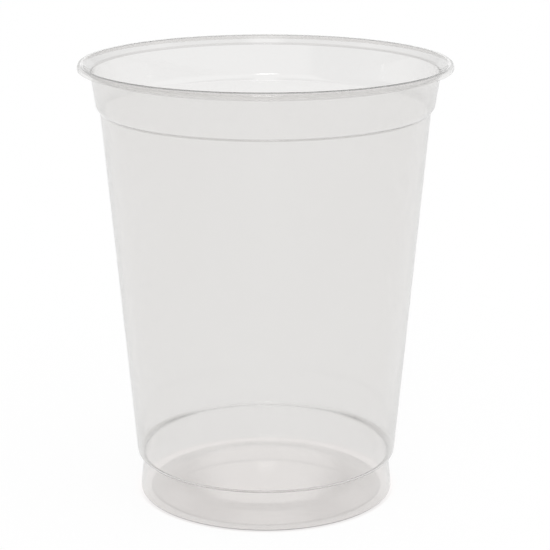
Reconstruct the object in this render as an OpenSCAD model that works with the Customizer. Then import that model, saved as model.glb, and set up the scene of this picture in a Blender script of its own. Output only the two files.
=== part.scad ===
// A thin-walled disposable drinking cup, formed from one sheet of clear plastic.
// One side of the sheet, the outside of the cup, is followed from the middle of the
// floor out to the turned-down lip. The other side lies one wall away from it, and the
// section between the two is turned about the cup's own axis.

/* [Floor] */
// How far the raised middle of the floor stands above the table
floor_rise = 3; // [2.4:0.1:4]
// Diameter of the shallow dome in the middle of the floor
dome_d = 40; // [32:0.5:42]
// How far the edge of the dome lies below its middle
dome_rise = 0.9; // [0.5:0.05:1.2]
// Width of the band round the dome, in which the floor bends down
dome_edge_w = 3; // [1:0.1:4]
// Radius of that bend
dome_bend_r = 38; // [6:1:38]
// Radius of the bend from the slope round the floor into the standing ring
heel_bend_r = 3; // [1:0.5:6]

/* [Foot] */
// Diameter of the foot where it stands
foot_d = 69; // [66:0.1:78]
// Width of the flat ring that the cup stands on, at the edge of the foot
stand_ring_w = 3.2; // [2:0.1:6]
// Radius of the edge between the standing ring and the foot wall
foot_edge_r = 0.4; // [0.4:0.05:1]
// Height of the foot, from the table to the crease under the ledge
foot_h = 10.5; // [7:0.1:16]
// How much further out the foot stands than the crease above it
foot_flare = 1; // [0.6:0.1:2]

/* [Ledge] */
// How far the side wall starts outside the crease
ledge_w = 1.7; // [1.6:0.1:3.5]
// Radius of the bend in the crease
crease_bend_r = 0.3; // [0.2:0.05:0.5]
// Rise of the ledge over its width
ledge_rise = 0.15; // [0.1:0.05:1.2]
// Radius of the rounded shoulder on which the ledge turns up into the side wall
ledge_r = 1; // [0.6:0.05:1.5]

/* [Side wall] */
// Height of the side wall, from the ledge to the step
side_h = 94.15; // [60:0.05:140]
// Diameter at the top of the side wall, under the step
side_top_d = 86.7; // [80:0.1:98]

/* [Lid band] */
// Height of the corner between the step and the band above the side wall
step_h = 0.85; // [0.6:0.05:2]
// How far that corner stands outside the side wall
step_w = 1; // [0.6:0.05:2]
// Radius of the bend at the foot of the step
step_foot_r = 0.2; // [0.1:0.05:0.4]
// Radius of the long bend on which the step runs up into the band
step_r = 3; // [1:0.1:3]
// Height of the band, from that corner to the shoulder under the rim
band_h = 9.35; // [6:0.05:14]
// How much further out the band is at its top
band_flare = 1.3; // [0.4:0.1:2.4]

/* [Rim] */
// How far the rim reaches outside the top of the band
rim_reach = 3.35; // [3:0.05:5]
// Height from the top of the band to the top of the rim
rim_rise = 2.2; // [2:0.1:3.4]
// Radius of the top of the lip, where the edge of the sheet turns down
lip_r = 1; // [0.7:0.05:1.2]
// Height of the straight edge under the lip's bend
lip_drop = 0.3; // [0.2:0.05:0.8]
// Radius of the bend from the band into the shoulder
shoulder_r = 0.25; // [0.1:0.05:0.8]

/* [Sheet] */
// Thickness of the walls and the rim
wall = 0.35; // [0.25:0.01:0.5]
// Thickness of the floor
floor_wall = 0.35; // [0.25:0.01:0.6]

/* [Hidden] */

// Angle between two neighbouring points on a bend
arc_step = 15;
// Angle between two neighbouring points on the floor's shallow dome
dome_step = 2;
// Sides of the turned solid
turn_sides = 144;

// Greatest share of a straight line that one bend may take up
bend_share = 0.9;
// Smallest radius that the sheet can have on the inner side of a bend
tight_r = 0.05;

foot_r = foot_d / 2;
heel_r = foot_r - stand_ring_w;
crease_r = foot_r - foot_flare;
side_bottom_r = crease_r + ledge_w;
side_top_r = side_top_d / 2;
band_bottom_r = side_top_r + step_w;
band_top_r = band_bottom_r + band_flare;
rim_r = band_top_r + rim_reach;

ledge_z = foot_h + ledge_rise;
side_top_z = ledge_z + side_h;
band_bottom_z = side_top_z + step_h;
band_top_z = band_bottom_z + band_h;
rim_z = band_top_z + rim_rise;

// The dome is part of a large sphere, and the band round it goes on in a straight line
dome_r = dome_d / 2;
dome_sphere_r = (dome_r * dome_r + dome_rise * dome_rise) / (2 * dome_rise);
dome_angle = asin(dome_r / dome_sphere_r);
dome_edge = [dome_r, floor_rise - dome_rise];
slope_top = dome_edge + dome_edge_w * [1, -tan(dome_angle)];

// The shoulder is a straight line that touches the lip's bend. The line that is followed
// is the sheet's under side there, so its bend is one wall smaller than the lip's top.
lip_inner_r = lip_r - wall;
lip_line_r = rim_r - wall;
lip_middle = [rim_r - lip_r, rim_z - lip_r];
shoulder_foot = [band_top_r, band_top_z];
shoulder_angle = direction(shoulder_foot, lip_middle)
    + asin(lip_inner_r / norm(lip_middle - shoulder_foot));
lip_corner = shoulder_foot + (lip_line_r - band_top_r) * [1, tan(shoulder_angle)];
sheet_end = [lip_line_r, lip_middle[1] - lip_drop];

// Direction from one point to another, in degrees
function direction(from, to) = atan2(to[1] - from[1], to[0] - from[0]);

// Turn from one direction to another, between half a turn right and half a turn left
function turn_between(before, after) = (after - before + 540) % 360 - 180;

// Unit step to the left of a direction
function left_of(angle) = [-sin(angle), cos(angle)];

// Points on an arc, each as [r, z, direction, wall]; left turns have a positive angle
function arc(middle, radius, start, turn, sheet, step) =
    let (count = max(1, ceil(abs(turn) / step)))
    [for (i = [0:count])
        let (angle = start + turn * i / count)
        let (place = middle - sign(turn) * radius * left_of(angle))
        [place[0], place[1], angle, sheet]];

// A bend of the given radius at a corner, tangent to both of the lines that meet there
function bend(before, corner, after, radius, sheet) =
    let (start = direction(before, corner))
    let (turn = turn_between(start, direction(corner, after)))
    let (half_turn = tan(abs(turn) / 2))
    let (room = bend_share * min(norm(corner - before), norm(after - corner)))
    let (wanted = turn > 0 ? max(radius, sheet + tight_r) : radius)
    let (cut = min(wanted * half_turn, room))
    let (bent = cut / half_turn)
    let (middle = corner - cut * [cos(start), sin(start)] + sign(turn) * bent * left_of(start))
    arc(middle, bent, start, turn, sheet, arc_step);

// Corners of the sheet's outside from the floor to the rim, as [[r, z], bend, wall]
corners = [
    [dome_edge, 0, floor_wall],
    [slope_top, dome_bend_r, floor_wall],
    [[heel_r, 0], heel_bend_r, floor_wall],
    [[foot_r, 0], foot_edge_r, wall],
    [[crease_r, foot_h], crease_bend_r, wall],
    [[side_bottom_r, ledge_z], ledge_r, wall],
    [[side_top_r, side_top_z], step_foot_r, wall],
    [[band_bottom_r, band_bottom_z], step_r, wall],
    [shoulder_foot, shoulder_r, wall],
    [lip_corner, lip_inner_r, wall],
    [sheet_end, 0, wall],
];

// The dome, from the axis to its edge
function dome() =
    arc([0, floor_rise - dome_sphere_r], dome_sphere_r, 0, -dome_angle, floor_wall, dome_step);

// The bends between the dome and the end of the sheet
function walls() = [
    for (i = [1:len(corners) - 2])
    each bend(corners[i - 1][0], corners[i][0], corners[i + 1][0], corners[i][1], corners[i][2])
];

outside = concat(dome(), walls(), [[sheet_end[0], sheet_end[1], -90, wall]]);

// The same line one wall further in
inside = [for (p = outside) [p[0], p[1]] + p[3] * left_of(p[2])];

// The cup's section, closed round the edge of the sheet
module section() {
    polygon(concat(
        [for (p = outside) [p[0], p[1]]],
        [for (i = [len(inside) - 1:-1:0]) inside[i]]
    ));
}

module cup() {
    color([0.86, 0.87, 0.87, 0.4])
        rotate_extrude($fn = turn_sides)
            section();
}

cup();
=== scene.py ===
# %% [markdown]
# A clear plastic drinking cup This file is a lesson in making one thin, clear cup in Blender. That model
# stays hidden, and a smoother and finer one takes its place. We load the solid model first.

# %% Load the solid model
import math

import bmesh
import bpy
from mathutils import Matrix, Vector


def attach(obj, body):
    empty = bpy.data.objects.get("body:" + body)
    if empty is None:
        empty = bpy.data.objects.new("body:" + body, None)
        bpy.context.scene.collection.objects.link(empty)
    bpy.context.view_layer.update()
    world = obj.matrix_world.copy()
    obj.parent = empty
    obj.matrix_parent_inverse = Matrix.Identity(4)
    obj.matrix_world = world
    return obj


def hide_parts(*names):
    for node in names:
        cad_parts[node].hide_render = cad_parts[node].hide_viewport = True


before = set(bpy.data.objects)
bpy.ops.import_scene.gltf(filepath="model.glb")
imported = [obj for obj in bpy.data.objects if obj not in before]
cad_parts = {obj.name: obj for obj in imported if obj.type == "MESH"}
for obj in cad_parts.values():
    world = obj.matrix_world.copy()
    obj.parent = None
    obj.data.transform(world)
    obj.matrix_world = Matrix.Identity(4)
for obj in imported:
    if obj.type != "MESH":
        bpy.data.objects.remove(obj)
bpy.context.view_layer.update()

# %% [markdown]
# The sizes of the floor and the foot
# A turned shape needs only the line that is turned. The sizes here are in millimetres, and each one
# stands for a thing that could be measured on a cup: a radius, a height or the radius of a bend. They
# could be read off the solid model's mesh instead, but named sizes can be changed one by one. The cup
# stands on a flat ring at the edge of its foot. Inside the ring the floor rises in a gentle slope to a
# shallow dome, which keeps the middle off the table.

# %% Sizes of the floor and the foot
MM = 0.001
FLOOR_RISE = 3.0
DOME_R = 20.0
DOME_RISE = 0.9
DOME_EDGE_W = 3.0
DOME_BEND_R = 38.0
HEEL_R = 31.3
HEEL_BEND_R = 3.0
FOOT_R = 34.5
FOOT_EDGE_R = 0.4
FOOT_H = 10.5
FOOT_FLARE = 1.0
crease_r = FOOT_R - FOOT_FLARE
print(f"foot {2 * FOOT_R:.0f} mm across and {FOOT_H} mm high, floor raised by {FLOOR_RISE} mm")

# %% [markdown]
# The sizes of the ledge and the side wall
# Above the foot the wall turns out in a narrow ledge. On the real cup it carries the next cup in a stack.
# From the ledge the long side wall widens evenly to the step, so a straight line is enough for it.

# %% Sizes of the ledge and the side wall
CREASE_BEND_R = 0.3
LEDGE_W = 1.7
LEDGE_RISE = 0.15
LEDGE_R = 1.0
SIDE_H = 94.15
SIDE_TOP_R = 43.35
WALL = 0.35
side_bottom_r = crease_r + LEDGE_W
ledge_z = FOOT_H + LEDGE_RISE
side_top_z = ledge_z + SIDE_H
print(f"side wall from {2 * side_bottom_r:.1f} to {2 * SIDE_TOP_R:.1f} mm across, {WALL} mm thick")

# %% [markdown]
# The sizes of the step, the lid band and the rim
# At the step the wall turns out once more and runs up on one long bend into the band that a lid would
# grip. Over the band a short sloping shoulder leads to the lip, where the edge of the sheet turns down so
# that it doesn't cut.

# %% Sizes of the step, the lid band and the rim
STEP_H = 0.83
STEP_W = 0.99
STEP_FOOT_R = 0.2
STEP_R = 3.05
BAND_H = 9.37
BAND_FLARE = 1.31
SHOULDER_R = 0.25
RIM_REACH = 3.35
RIM_RISE = 2.2
LIP_R = 1.0
LIP_DROP = 0.3
band_bottom_r = SIDE_TOP_R + STEP_W
band_bottom_z = side_top_z + STEP_H
band_top_r = band_bottom_r + BAND_FLARE
band_top_z = band_bottom_z + BAND_H
rim_r = band_top_r + RIM_REACH
rim_z = band_top_z + RIM_RISE
print(f"rim {2 * rim_r:.1f} mm across, cup {rim_z:.1f} mm high")

# %% [markdown]
# The dome in the floor
# The dome is a cap of a very large ball. A cap that is 40 mm wide and 0.9 mm high belongs to a ball of
# more than 400 mm across, so a sphere would have to be cut down to almost nothing. A row of points worked
# out on its arc is simpler. Past the cap, the band round it goes straight on in the direction that the
# arc ends in.

# %% The dome's points
DOME_POINTS = 12
dome_sphere_r = (DOME_R ** 2 + DOME_RISE ** 2) / (2 * DOME_RISE)
dome_angle = math.asin(DOME_R / dome_sphere_r)


def dome_point(share):
    """A point on the floor's dome, from its middle (0) to its edge (1)."""
    angle = dome_angle * share
    return Vector((dome_sphere_r * math.sin(angle), FLOOR_RISE - dome_sphere_r * (1 - math.cos(angle))))


dome = [dome_point(i / DOME_POINTS) for i in range(DOME_POINTS + 1)]
dome_fall = Vector((1, -math.tan(dome_angle)))
slope_top = Vector((DOME_R, FLOOR_RISE - DOME_RISE)) + dome_fall * DOME_EDGE_W
print(f"the dome is part of a ball of {dome_sphere_r:.0f} mm radius")

# %% [markdown]
# The shoulder and the lip
# The shoulder is a straight line that just touches the round of the lip. Its slope could be tried out by
# eye, but the touching point of a line and a circle has a formula. The line that we follow is the sheet's
# underside here, so the bend in it is one wall smaller than the round top of the lip.

# %% The corner of the lip
lip_inner_r = LIP_R - WALL
lip_line_r = rim_r - WALL
lip_middle = Vector((rim_r - LIP_R, rim_z - LIP_R))
shoulder_foot = Vector((band_top_r, band_top_z))
to_lip = lip_middle - shoulder_foot
shoulder_angle = math.atan2(to_lip.y, to_lip.x) + math.asin(lip_inner_r / to_lip.length)
shoulder_run = Vector((math.cos(shoulder_angle), math.sin(shoulder_angle)))
lip_corner = shoulder_foot + shoulder_run * (lip_line_r - band_top_r) / shoulder_run.x
edge_of_sheet = Vector((lip_line_r, rim_z - LIP_R - LIP_DROP))
print(f"the shoulder slopes up at {math.degrees(shoulder_angle):.0f} degrees")

# %% [markdown]
# The line of the sheet's outside
# All the straight stretches between the dome and the lip meet in corners. Each corner is written with the
# radius of its bend. Keeping the two together means that a place and its bend can't get out of step.

# %% The corners, each with the radius of its bend
corners = [
    (slope_top, DOME_BEND_R),
    (Vector((HEEL_R, 0)), HEEL_BEND_R),
    (Vector((FOOT_R, 0)), FOOT_EDGE_R),
    (Vector((crease_r, FOOT_H)), CREASE_BEND_R),
    (Vector((side_bottom_r, ledge_z)), LEDGE_R),
    (Vector((SIDE_TOP_R, side_top_z)), STEP_FOOT_R),
    (Vector((band_bottom_r, band_bottom_z)), STEP_R),
    (shoulder_foot, SHOULDER_R),
    (lip_corner, lip_inner_r),
]
outside = dome + [place for place, _ in corners] + [edge_of_sheet]
print(len(outside), "points in the line, of which", len(corners), "are corners")

# %% [markdown]
# Draw the line by extruding one vertex
# On a lathe the section comes first. A curve object could draw it, but a chain of edges can be bevelled
# and spun with the ordinary tools of edit mode. A plane is merged into one vertex, and that vertex is
# extruded from point to point in the XZ plane. Only the corners are drawn here, and their bends come in
# the next step.

# %% Draw the outside of the sheet
def select_none():
    """Leaves nothing selected, in object mode."""
    if bpy.context.object and bpy.context.object.mode != "OBJECT":
        bpy.ops.object.mode_set(mode="OBJECT")
    bpy.ops.object.select_all(action="DESELECT")


select_none()
bpy.ops.mesh.primitive_plane_add(size=MM, location=(0, 0, 0))
cup = bpy.context.object
cup.name = "clear_cup"
bpy.ops.object.mode_set(mode="EDIT")
bpy.ops.mesh.merge(type="CENTER")
first = outside[0] * MM
bpy.ops.transform.translate(value=(first.x, 0, first.y))
for before, after in zip(outside, outside[1:]):
    run = (after - before) * MM
    bpy.ops.mesh.extrude_region_move(TRANSFORM_OT_translate={"value": (run.x, 0, run.y)})
print(len(bmesh.from_edit_mesh(cup.data).verts), "vertices drawn")

# %% [markdown]
# Bend the corners
# Hot sheet that is drawn into a mould never keeps a sharp corner, and it is the bends that catch the
# light. Each corner is found by its place and rounded with a vertex bevel. A bevel asks for the distance
# that it cuts from the corner, which is the radius times the tangent of half the turn. The profile of 0.5
# makes the bevel a round arc.

# %% Find a corner, and bend each one
BEND_STEPS = 8
ROUND_PROFILE = 0.5
NEAR_MM = 0.01


def pick_corner(piece, place):
    """Selects the vertex of a piece in edit mode that lies at a place, and counts what it found."""
    bpy.ops.mesh.select_mode(type="VERT")
    bpy.ops.mesh.select_all(action="DESELECT")
    mesh = bmesh.from_edit_mesh(piece.data)
    found = [vertex for vertex in mesh.verts if (vertex.co - place).length < NEAR_MM * MM]
    for vertex in found:
        vertex.select_set(True)
    mesh.select_flush(True)
    bmesh.update_edit_mesh(piece.data)
    return len(found)


for number, (place, radius) in enumerate(corners, start=len(dome)):
    turn = (place - outside[number - 1]).angle(outside[number + 1] - place)
    found = pick_corner(cup, Vector((place.x, 0, place.y)) * MM)
    bpy.ops.mesh.bevel(offset=radius * MM * math.tan(turn / 2), segments=BEND_STEPS, affect="VERTICES",
                       offset_type="OFFSET", profile=ROUND_PROFILE)
    print(f"{found} corner turned by {math.degrees(turn):.0f} degrees, bent to {radius:.2f} mm radius")
print(len(bmesh.from_edit_mesh(cup.data).verts), "vertices in the bent line")

# %% [markdown]
# Turn the line about the cup's axis
# The real cup is round because its mould is. Spin does what a lathe does: it copies the line round the
# axis and joins the copies with faces. A screw modifier would do the same, but spin leaves a plain mesh
# at once. In 240 steps a side at the rim is 1.3 mm long and turns by 1.5 degrees, so the round outline
# shows no flats.

# %% Turn the line into a skin
TURN_STEPS = 240
WELD_MM = 0.002
bpy.ops.mesh.select_all(action="SELECT")
bpy.ops.mesh.spin(steps=TURN_STEPS, angle=math.tau, center=(0, 0, 0), axis=(0, 0, 1), dupli=False)
bpy.ops.mesh.select_all(action="SELECT")
bpy.ops.mesh.remove_doubles(threshold=WELD_MM * MM)
print(len(bmesh.from_edit_mesh(cup.data).faces), "faces in the skin")

# %% [markdown]
# Face the skin outwards
# The last copy of the line falls on the first one, and the middle of the floor is one point drawn many
# times. The weld above joined them. Now every face has to look out of the cup, because the sheet gets its
# thickness on the other side. Blender makes the faces agree with one another, but on an open skin it may
# choose the wrong side. So the lowest face, which belongs to the underside, is asked where it looks.

# %% Make the outside face outwards
bpy.ops.mesh.normals_make_consistent(inside=False)
mesh = bmesh.from_edit_mesh(cup.data)
mesh.faces.ensure_lookup_table()
underside = min(mesh.faces, key=lambda face: face.calc_center_median().z)
if underside.normal.z > 0:
    bpy.ops.mesh.flip_normals()
print("the underside faces down:", underside.normal.z < 0)
bpy.ops.object.mode_set(mode="OBJECT")

# %% [markdown]
# Give the sheet its thickness
# Clear plastic only looks right as a closed solid with two surfaces, because light bends on its way in
# and on its way out. The skin could be extruded along its normals by hand. The solidify modifier does the
# same, and its even offset keeps the wall at 0.35 mm also in the bends. With an offset of -1 all of the
# thickness goes inwards.

# %% Thicken the sheet
sheet = cup.modifiers.new("sheet", "SOLIDIFY")
sheet.thickness = WALL * MM
sheet.offset = -1
sheet.use_even_offset = True
bpy.context.view_layer.objects.active = cup
bpy.ops.object.modifier_apply(modifier=sheet.name)
print(len(cup.data.polygons), "faces in the solid sheet")

# %% [markdown]
# Smooth the shading
# Formed plastic is glossy, and a facet would show in it as a hard line. Shading smooth by angle blends
# faces that meet at less than 30 degrees and keeps the edge of the sheet crisp. The weighted normal
# modifier then lets the large faces of the wall decide the shading next to the narrow faces of a bend, so
# that no dark smear runs up from a bend into the wall.

# %% Smooth the shading and measure the cup
SMOOTH_BELOW = 30
FULL_WEIGHT = 100
bpy.ops.object.shade_smooth_by_angle(angle=math.radians(SMOOTH_BELOW))
evener = cup.modifiers.new("even_normals", "WEIGHTED_NORMAL")
evener.keep_sharp = True
evener.weight = FULL_WEIGHT
bpy.ops.object.modifier_apply(modifier=evener.name)
low = [min(vertex.co[i] for vertex in cup.data.vertices) / MM for i in range(3)]
high = [max(vertex.co[i] for vertex in cup.data.vertices) / MM for i in range(3)]
print("the cup in mm:", [round(value, 2) for value in low], [round(value, 2) for value in high])

# %% [markdown]
# The clear plastic
# The cup is clear and almost without colour. The Principled shader makes glass of itself when its
# transmission is 1. A plain glass shader would do too, but this one keeps its values under names that
# other programs read. An index of refraction of 1.55 is about that of clear packaging plastic. The
# roughness of 0.06 is hardly visible on one wall, and it takes the sharpness off the fine lines in the
# rim. The body colour is the mean of the two tints that the next step lays over it.

# %% The body of the plastic
BODY_COLOUR = (0.906, 0.9, 0.893, 1)
ROUGHNESS = 0.06
REFRACTION = 1.55
FULLY_CLEAR = 1.0
plastic = bpy.data.materials.new("clear_plastic")
plastic.use_nodes = True
shader = plastic.node_tree.nodes["Principled BSDF"]
shader.inputs["Base Color"].default_value = BODY_COLOUR
shader.inputs["Roughness"].default_value = ROUGHNESS
shader.inputs["IOR"].default_value = REFRACTION
shader.inputs["Transmission Weight"].default_value = FULLY_CLEAR
print(f"clear plastic with a refraction of {REFRACTION} and a roughness of {ROUGHNESS}")

# %% [markdown]
# Cloudiness and ripple
# Stretched sheet is never quite even: it is a little greyer in some places, and its surface has slow
# waves. One noise texture drives both, since both come from how the sheet stretched. It is laid on the
# object's own coordinates, so it stays on the cup when the cup moves. The helper in this cell adds a node
# and fills its inputs, which keeps every later node to a line or two.

# %% Give the plastic its cloudiness and ripple
def node(tree, kind, inputs=(), **settings):
    """Adds a node, sets its settings, and fills its inputs with values or links."""
    made = tree.nodes.new(kind)
    for name, value in settings.items():
        setattr(made, name, value)
    for name, value in dict(inputs).items():
        if isinstance(value, bpy.types.NodeSocket):
            tree.links.new(value, made.inputs[name])
        else:
            made.inputs[name].default_value = value
    return made


GREYER = (0.9, 0.892, 0.884, 1)
CLEARER = (0.912, 0.908, 0.902, 1)
CLOUDS_PER_M = 45.0
CLOUD_DETAIL = 3.0
RIPPLE_MM = 0.2
RIPPLE_STRENGTH = 0.12
tree = plastic.node_tree
on_cup = node(tree, "ShaderNodeTexCoord").outputs["Object"]
cloud = node(tree, "ShaderNodeTexNoise", {"Vector": on_cup, "Scale": CLOUDS_PER_M, "Detail": CLOUD_DETAIL})
tint = node(tree, "ShaderNodeMix", {"Factor": cloud.outputs["Fac"], "A": GREYER, "B": CLEARER},
            data_type="RGBA")
ripple = node(tree, "ShaderNodeBump", {"Height": cloud.outputs["Fac"], "Distance": RIPPLE_MM * MM,
                                       "Strength": RIPPLE_STRENGTH})
tree.links.new(ripple.outputs["Normal"], shader.inputs["Normal"])
print(f"clouds and waves about {1 / CLOUDS_PER_M / MM:.0f} mm apart")

# %% [markdown]
# Bands with soft edges
# The folds of the sheet, the ground and the room all need the same thing: a value that is 1 inside some
# limits, 0 outside, and runs smoothly from one to the other. Colour ramps could do it, but their stops
# are hard to read in a script. Here a smooth step gives one edge of a band, and the product of some edges
# gives the band. The helpers take the node tree from the socket that they are given. Two edges are made
# on the cup: its front half, and its far left and right.

# %% Soft edges on the cup
FRONT_HALF = (-0.01, -0.03)
FAR_SIDES = (0.018, 0.027)


def ramp(value, start, end):
    """Goes smoothly from 0 at the start to 1 at the end."""
    return node(value.id_data, "ShaderNodeMapRange", {"Value": value, "From Min": start, "From Max": end},
                interpolation_type="SMOOTHSTEP").outputs[0]


def times(first, *others):
    """Multiplies its values with one another."""
    tree = first.id_data
    product = first
    for value in others:
        product = node(tree, "ShaderNodeMath", {0: product, 1: value}, operation="MULTIPLY").outputs[0]
    return product


def size_of(value):
    """Drops the sign of a value."""
    return node(value.id_data, "ShaderNodeMath", {0: value}, operation="ABSOLUTE").outputs[0]


cup_parts = node(tree, "ShaderNodeSeparateXYZ", {0: on_cup})
in_front = ramp(cup_parts.outputs["Y"], *FRONT_HALF)
at_sides = ramp(size_of(cup_parts.outputs["X"]), *FAR_SIDES)
print("the plastic has", len(tree.nodes), "nodes")

# %% [markdown]
# The painted shade in the folds
# Where the sheet is folded sharply, a real cup shows a fine dark line, because the light that should come
# through there is bent away. The renderer finds most of these lines by itself. Three of them come out too
# faint, so shade is painted into the plastic's colour in the fold: under the rim all round, at the step in
# front, and at the ledge on the far left and right. A thicker fold would change the shape, and at the
# ledge it made the front line too heavy.

# %% Paint shade into the folds
FOLD_SHADE_COLOUR = (0.7, 0.69, 0.68, 1)
FOLD_EDGE = 0.2
SHOULDER_BELOW = 0.1
SHOULDER_ABOVE = 0.2
SHOULDER_SHARE = 0.8
STEP_REACH = 0.2
STEP_SHARE = 0.9
LEDGE_BELOW = 0.1
LEDGE_ABOVE = 0.25


def ring(low, high):
    """Is 1 on the part of the cup between two heights in millimetres, and 0 elsewhere."""
    up = cup_parts.outputs["Z"]
    return times(ramp(up, (low - FOLD_EDGE) * MM, low * MM), ramp(up, (high + FOLD_EDGE) * MM, high * MM))


def add(one, other):
    """Adds two values, and keeps the sum between 0 and 1."""
    return node(one.id_data, "ShaderNodeMath", {0: one, 1: other},
                operation="ADD", use_clamp=True).outputs[0]


# Painted shade: the plastic's colour is darkened in three folds, where bent-away light leaves dark lines.
shoulder_painted_shade = times(ring(band_top_z - SHOULDER_BELOW, band_top_z + SHOULDER_ABOVE), SHOULDER_SHARE)
step_painted_shade = times(ring(side_top_z - STEP_REACH, side_top_z + STEP_REACH), in_front, STEP_SHARE)
ledge_painted_shade = times(ring(FOOT_H - LEDGE_BELOW, ledge_z + LEDGE_ABOVE), at_sides)
folds = add(add(shoulder_painted_shade, step_painted_shade), ledge_painted_shade)
folded = node(tree, "ShaderNodeMix", {"Factor": folds, "A": tint.outputs["Result"], "B": FOLD_SHADE_COLOUR},
              data_type="RGBA")
tree.links.new(folded.outputs["Result"], shader.inputs["Base Color"])
print(f"folds tinted at {ledge_z:.1f}, {side_top_z:.1f} and {band_top_z:.1f} mm")

# %% [markdown]
# The grey cast where the wall is seen edge on
# Looked at straight, the wall is clear. Along the outline and in the lip the light runs a long way inside
# the sheet and comes out grey. A darker tint on the surface would be right from one side only. Volume
# absorption weakens the light by the length of its way through the plastic, so it is right from every
# side.

# %% Let the plastic absorb light
ABSORBING_GREY = (0.5, 0.49, 0.48, 1)
ABSORPTION_PER_M = 200.0
absorb = node(tree, "ShaderNodeVolumeAbsorption", {"Color": ABSORBING_GREY, "Density": ABSORPTION_PER_M})
tree.links.new(absorb.outputs["Volume"], tree.nodes["Material Output"].inputs["Volume"])
cup.data.materials.clear()
cup.data.materials.append(plastic)
print("material slots:", [slot.name for slot in cup.material_slots])

# %% [markdown]
# The cup is one piece, so each is said once.

# %% Tie the cup to its body
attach(cup, "root")
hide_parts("cup")
print(cup.name, "rides on root and replaces cup")

# %% [markdown]
# The white ground
# The cup stands on plain white paper that fills the view. A box would do for a small ground, but a wide
# disc has no edge near the cup. Its material is white paint and a white glow mixed: the glow is what the
# camera sees directly, in mirror images and through the plastic, and the paint is what the cup's soft
# shadow falls on.

# %% Lay the ground
GROUND_R = 2.5
GROUND_SIDES = 96
select_none()
bpy.ops.mesh.primitive_circle_add(vertices=GROUND_SIDES, radius=GROUND_R, fill_type="NGON",
                                  location=(0, 0, 0))
ground = bpy.context.object
ground.name = "ground"
paper = bpy.data.materials.new("white_paper")
paper.use_nodes = True
tree = paper.node_tree
tree.nodes.clear()
on_ground = node(tree, "ShaderNodeTexCoord").outputs["Object"]
ground_parts = node(tree, "ShaderNodeSeparateXYZ", {0: on_ground})
from_axis = node(tree, "ShaderNodeVectorMath", {0: on_ground}, operation="LENGTH").outputs["Value"]
print(f"the ground is {2 * GROUND_R} m across")

# %% [markdown]
# The painted shade under the cup
# Light that reaches the paper through the cup's floor has passed more plastic, so the paper is a little
# darker and warmer there. A darker ring of contact shadow lies where the standing ring of the foot
# touches the paper, on the side of the camera. Both could be left to the light alone, but a bright ground
# drowns them, so they are painted into the paper as shade.

# %% Paint shade into the paper
CUP_EDGE = (0.037, 0.0335)
CONTACT_INSIDE = (0.0298, 0.0312)
CONTACT_OUTSIDE = (0.0356, 0.0347)
CONTACT_IN_FRONT = (0.0, -0.025)
WHITE = (1, 1, 1, 1)
UNDER_CUP_SHADE_COLOUR = (1, 0.972, 0.966, 1)
GLOW = 1.04
CONTACT_GLOW = 0.86


def blend(share, below, above):
    """Goes from the value below to the value above as the share goes from 0 to 1."""
    inputs = {"Value": share, "To Min": below, "To Max": above}
    return node(share.id_data, "ShaderNodeMapRange", inputs).outputs[0]


# Painted shade: the paper is darker and warmer under the cup, and darker still in a ring in front of the
# foot.
under_cup = ramp(from_axis, *CUP_EDGE)
contact_shadow = times(ramp(from_axis, *CONTACT_INSIDE), ramp(from_axis, *CONTACT_OUTSIDE),
                ramp(ground_parts.outputs["Y"], *CONTACT_IN_FRONT))
tone = node(tree, "ShaderNodeMix", {"Factor": under_cup, "A": WHITE, "B": UNDER_CUP_SHADE_COLOUR},
            data_type="RGBA")
glow = node(tree, "ShaderNodeEmission", {"Color": tone.outputs["Result"],
                                         "Strength": blend(contact_shadow, GLOW, CONTACT_GLOW)})
print("the paper glows at", GLOW, "and at", CONTACT_GLOW, "under the edge of the foot")

# %% [markdown]
# What the camera sees of the paper
# The light path node says how a ray came to the paper. Rays from the camera, from a mirror image and
# through the plastic see mostly glow, and all others see only white paint. A brighter lamp would whiten
# the paper too, but it would also brighten the highlights on the cup.

# %% Mix the glow with white paint
GLOW_SHARE = 0.9
GLOW_SHARE_UNDER_CUP = 0.93
PAINT = (0.98, 0.98, 0.98, 1)
path = node(tree, "ShaderNodeLightPath")
seen = add(path.outputs["Is Camera Ray"], path.outputs["Is Glossy Ray"])
seen = add(seen, path.outputs["Is Transmission Ray"])
paint = node(tree, "ShaderNodeBsdfDiffuse", {"Color": PAINT})
share = times(seen, blend(under_cup, GLOW_SHARE, GLOW_SHARE_UNDER_CUP))
mix = node(tree, "ShaderNodeMixShader", {0: share, 1: paint.outputs[0], 2: glow.outputs[0]})
node(tree, "ShaderNodeOutputMaterial", {"Surface": mix.outputs[0]})
ground.data.materials.append(paper)
print("the ground is part of the stage")

# %% [markdown]
# The room round the cup
# Clear plastic has little look of its own: it shows the room, bent and mirrored. The room could be built
# from panels and lamps, but one world shader that goes by direction keeps it all in one place. A
# direction is a step of length 1, so its height is 0 at the horizon and 1 straight up. The camera looks
# towards +Y.

# %% Directions in the room
BACK_OF_ROOM = (0.2, 0.5)
world = bpy.data.worlds.new("studio")
bpy.context.scene.world = world
world.use_nodes = True
tree = world.node_tree
tree.nodes.clear()
direction = node(tree, "ShaderNodeTexCoord").outputs["Generated"]
room_parts = node(tree, "ShaderNodeSeparateXYZ", {0: direction})
aside = size_of(room_parts.outputs["X"])
depth = room_parts.outputs["Y"]
height = room_parts.outputs["Z"]
at_back = ramp(depth, *BACK_OF_ROOM)
print("the room has", len(tree.nodes), "nodes so far")

# %% [markdown]
# The window wall
# At the back stands a bright window in a dark frame. A black beam lies over the window, and a skylight
# over the beam. The cup mirrors and bends them into its bright and dark shapes. Each part is given by its
# edges, and each edge by where it starts and where it ends.

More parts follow.
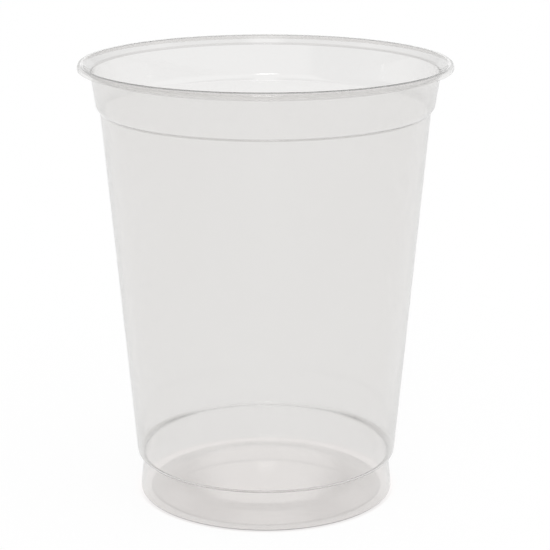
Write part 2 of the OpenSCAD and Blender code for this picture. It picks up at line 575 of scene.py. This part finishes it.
# %% The window wall
WINDOW_SIDE = (0.13, 0.06)
WINDOW_TOP = (0.61, 0.53)
WINDOW_SILL = (0.0, 0.08)
FRAME_SIDE = (0.24, 0.17)
FRAME_TOP = (0.76, 0.7)
FRAME_FOOT = (0.33, 0.4)
BEAM_TOP = (0.735, 0.7)
BEAM_FOOT = (0.57, 0.61)
SKYLIGHT_SIDE = (0.22, 0.12)
SKYLIGHT_TOP = (0.86, 0.8)
SKYLIGHT_FOOT = (0.7, 0.735)


def on_back_wall(side, top, foot):
    """Is 1 on a part of the back wall, given by its side, top and foot, and 0 elsewhere."""
    return times(at_back, ramp(aside, *side), ramp(height, *top), ramp(height, *foot))


window = on_back_wall(WINDOW_SIDE, WINDOW_TOP, WINDOW_SILL)
window_frame = on_back_wall(FRAME_SIDE, FRAME_TOP, FRAME_FOOT)
beam = on_back_wall(FRAME_SIDE, BEAM_TOP, BEAM_FOOT)
skylight = on_back_wall(SKYLIGHT_SIDE, SKYLIGHT_TOP, SKYLIGHT_FOOT)
print("the room has", len(tree.nodes), "nodes so far")

# %% [markdown]
# The other walls and the ceiling
# Away from the window wall the upper part of the room is brighter, and the back wall itself is a little
# dimmer. The ceiling is dim too, apart from an opening along its middle. The wall on the left is dimmer
# than the one on the right. Near the horizon all is bright, so that no edge shows between the ground and
# the room.

# %% The other walls and the ceiling
AWAY_FROM_BACK = (0.3, 0.0)
UPPER_FOOT = (0.36, 0.46)
BACK_WALL_TOP = (0.95, 0.9)
BACK_WALL_FOOT = (0.2, 0.3)
CEILING_FOOT = (0.8, 0.9)
OPENING_SIDE = (0.05, 0.14)
LEFT_OF_ROOM = (-0.45, -0.6)
LEFT_WALL_FOOT = (0.03, 0.1)
HORIZON_TOP = (0.05, 0.03)
upper_part = times(ramp(depth, *AWAY_FROM_BACK), ramp(height, *UPPER_FOOT))
back_wall = times(at_back, ramp(height, *BACK_WALL_FOOT), ramp(height, *BACK_WALL_TOP))
ceiling = times(ramp(height, *CEILING_FOOT), ramp(aside, *OPENING_SIDE))
left_wall = times(ramp(room_parts.outputs["X"], *LEFT_OF_ROOM), ramp(height, *LEFT_WALL_FOOT))
horizon = ramp(height, *HORIZON_TOP)
print("the room has", len(tree.nodes), "nodes so far")

# %% [markdown]
# How bright each part is
# The parts are painted one over another in the order of the list, so a later part covers what lies under
# it. Their levels were tuned by laying the render beside the photograph. The camera itself sees plain
# white behind everything, so the picture's background stays clean.

# %% Paint the room
PLAIN_LEVEL = 1.0
ROOM_STRENGTH = 0.8
BACKGROUND_STRENGTH = 1.0
painted_parts = [
    (upper_part, 1.3),
    (back_wall, 0.7),
    (window_frame, 0.25),
    (window, 1.4),
    (skylight, 0.7),
    (beam, 0.0),
    (ceiling, 0.45),
    (left_wall, 0.5),
    (horizon, 1.25),
]
level = PLAIN_LEVEL
for part, part_level in painted_parts:
    level = blend(part, level, part_level)
path = node(tree, "ShaderNodeLightPath")
level = blend(path.outputs["Is Camera Ray"], times(level, ROOM_STRENGTH), BACKGROUND_STRENGTH)
background = node(tree, "ShaderNodeBackground", {"Color": WHITE, "Strength": level})
node(tree, "ShaderNodeOutputWorld", {"Surface": background.outputs[0]})
print(len(painted_parts), "parts painted, in", len(tree.nodes), "nodes")

# %% [markdown]
# The lamp over the camera
# A soft lamp stands above the camera and a little behind it, and gives the plastic small bright
# reflections. A point lamp would show there as a hard dot, so this one is an ellipse with a size of its
# own.

# %% Hang the lamp
LAMP_PLACE = (0, -0.56, 0.32)
LAMP_TILT = 65
LAMP_WIDTH = 0.19
LAMP_HEIGHT = 0.11
LAMP_POWER = 0.24
select_none()
bpy.ops.object.light_add(type="AREA", location=LAMP_PLACE)
lamp = bpy.context.object
lamp.data.shape = "ELLIPSE"
lamp.data.size = LAMP_WIDTH
lamp.data.size_y = LAMP_HEIGHT
lamp.data.energy = LAMP_POWER
lamp.rotation_euler = (math.radians(LAMP_TILT), 0, 0)
print("a lamp of", LAMP_POWER, "W")

# %% [markdown]
# The camera
# The camera was found together with the cup's sizes, so that the outline and the lines of the cup fall
# where they do in the photograph. It stands half a metre away and looks down by 15 degrees. Its focal
# length is written in pixels, because that is how it was measured, and is turned into millimetres on a 36
# mm sensor here.

# %% Set up the camera
CAMERA_DISTANCE = 0.4844
CAMERA_HEIGHT = 0.1935
LOOK_DOWN = 15.474
LOOK_ASIDE = 0.29
FOCAL_PIXELS = 1869.9
IMAGE_WIDTH = 550
SENSOR_WIDTH = 36
camera_data = bpy.data.cameras.new("camera")
camera = bpy.data.objects.new("camera", camera_data)
bpy.context.scene.collection.objects.link(camera)
camera_data.sensor_width = SENSOR_WIDTH
camera_data.lens = FOCAL_PIXELS / IMAGE_WIDTH * SENSOR_WIDTH
camera.location = (0, -CAMERA_DISTANCE, CAMERA_HEIGHT)
camera.rotation_euler = (math.radians(90 - LOOK_DOWN), 0, math.radians(-LOOK_ASIDE))
bpy.context.scene.camera = camera
print(f"a lens of {camera_data.lens:.0f} mm")

# %% [markdown]
# Colours and light paths
# The plain view transform keeps white paper white. A ray straight through the cup passes four surfaces,
# and in the lip it is mirrored to and fro many times. If it ran out of bounces it would come back black,
# so it gets 24.

# %% Let light pass through many surfaces
CLEAR_BOUNCES = 24
MIRROR_BOUNCES = 12
scene = bpy.context.scene
scene.view_settings.view_transform = "Standard"
scene.cycles.max_bounces = CLEAR_BOUNCES
scene.cycles.transmission_bounces = CLEAR_BOUNCES
scene.cycles.transparent_max_bounces = CLEAR_BOUNCES
scene.cycles.glossy_bounces = MIRROR_BOUNCES
print("light may bounce", scene.cycles.max_bounces, "times")
